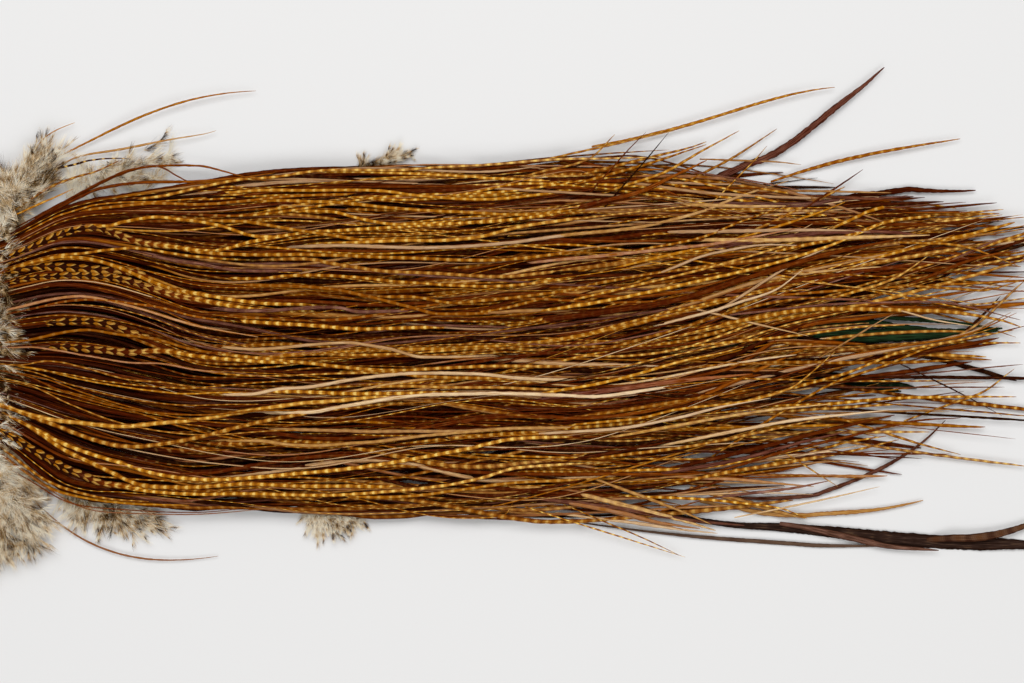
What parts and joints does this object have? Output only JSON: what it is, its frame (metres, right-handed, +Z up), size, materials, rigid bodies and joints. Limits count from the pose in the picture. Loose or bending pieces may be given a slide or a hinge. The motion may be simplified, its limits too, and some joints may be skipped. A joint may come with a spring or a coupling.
{
  "type": "rooster saddle hackle",
  "caption": "Dried patch of rooster saddle skin with long slender barred gold and mahogany hackles lying in one sweep, and grizzly down at the root end.",
  "frame": {"origin": "centre of the skin patch's flat underside", "axes": "+X along the hackles towards their tips, +Y to the upper edge in the picture, +Z up"},
  "size_m": [0.4056, 0.1654, 0.0121],
  "materials": {
    "skin": "dry yellowish skin, matt, finely wrinkled",
    "barred_hackle": "glossy gold-brown feather with dark cross bars and pale bar spots",
    "mahogany_hackle": "glossy dark red-brown feather with lavender-grey highlights",
    "green_black_feather": "glossy black feather with a green sheen",
    "stray_hackle": "thin gold to brown feather, barred, satin",
    "tail_feather": "black-brown feather, satin, partly barred",
    "down": "grizzly grey, cream and white down, matt"
  },
  "bodies": {
    "root": {"down_front": "down", "down_lower_edge": "down", "down_lower_flank": "down", "down_lower_front": "down", "down_lower_tuft": "down", "down_upper_edge": "down", "down_upper_flank": "down", "down_upper_front": "down", "down_upper_tuft": "down", "green_black_hackle_lock_1": "green_black_feather", "green_black_hackle_lock_2": "green_black_feather", "lower_hackle_lock_01": "mahogany_hackle", "lower_hackle_lock_02": "mahogany_hackle", "lower_hackle_lock_03": "mahogany_hackle", "lower_hackle_lock_04": "mahogany_hackle", "lower_hackle_lock_05": "mahogany_hackle", "lower_hackle_lock_06": "mahogany_hackle", "lower_hackle_lock_07": "mahogany_hackle", "lower_hackle_lock_10": "mahogany_hackle", "lower_hackle_lock_11": "mahogany_hackle", "lower_hackle_lock_12": "mahogany_hackle", "lower_hackle_lock_13": "mahogany_hackle", "lower_hackle_lock_14": "mahogany_hackle", "lower_hackle_lock_15": "mahogany_hackle", "skin": "skin", "stray_hackle_lower_left_arc": "stray_hackle", "stray_hackle_lower_right_gold": "stray_hackle", "stray_hackle_lower_right_purple": "stray_hackle", "stray_hackle_upper_left_arc": "stray_hackle", "stray_hackle_upper_left_cream": "stray_hackle", "stray_hackle_upper_left_curl": "stray_hackle", "stray_hackle_upper_right_barred": "stray_hackle", "stray_hackle_upper_right_black": "stray_hackle", "stray_hackle_upper_right_dark": "stray_hackle", "stray_hackle_upper_right_gold": "stray_hackle", "tail_feather_barred": "tail_feather", "tail_feather_long": "tail_feather", "tail_feather_thin": "tail_feather", "upper_hackle_lock_01": "barred_hackle", "upper_hackle_lock_02": "barred_hackle", "upper_hackle_lock_03": "barred_hackle", "upper_hackle_lock_04": "barred_hackle", "upper_hackle_lock_05": "barred_hackle", "upper_hackle_lock_06": "barred_hackle", "upper_hackle_lock_07": "barred_hackle", "upper_hackle_lock_08": "barred_hackle", "upper_hackle_lock_09": "barred_hackle", "upper_hackle_lock_10": "barred_hackle", "upper_hackle_lock_11": "barred_hackle", "upper_hackle_lock_12": "barred_hackle", "upper_hackle_lock_13": "barred_hackle", "upper_hackle_lock_14": "barred_hackle", "upper_hackle_lock_15": "barred_hackle", "upper_hackle_lock_16": "barred_hackle", "upper_hackle_lock_17": "barred_hackle", "upper_hackle_lock_18": "barred_hackle", "upper_hackle_lock_19": "barred_hackle", "upper_hackle_lock_20": "barred_hackle", "upper_hackle_lock_21": "barred_hackle", "upper_hackle_lock_22": "barred_hackle"}
  },
  "joints": []
}
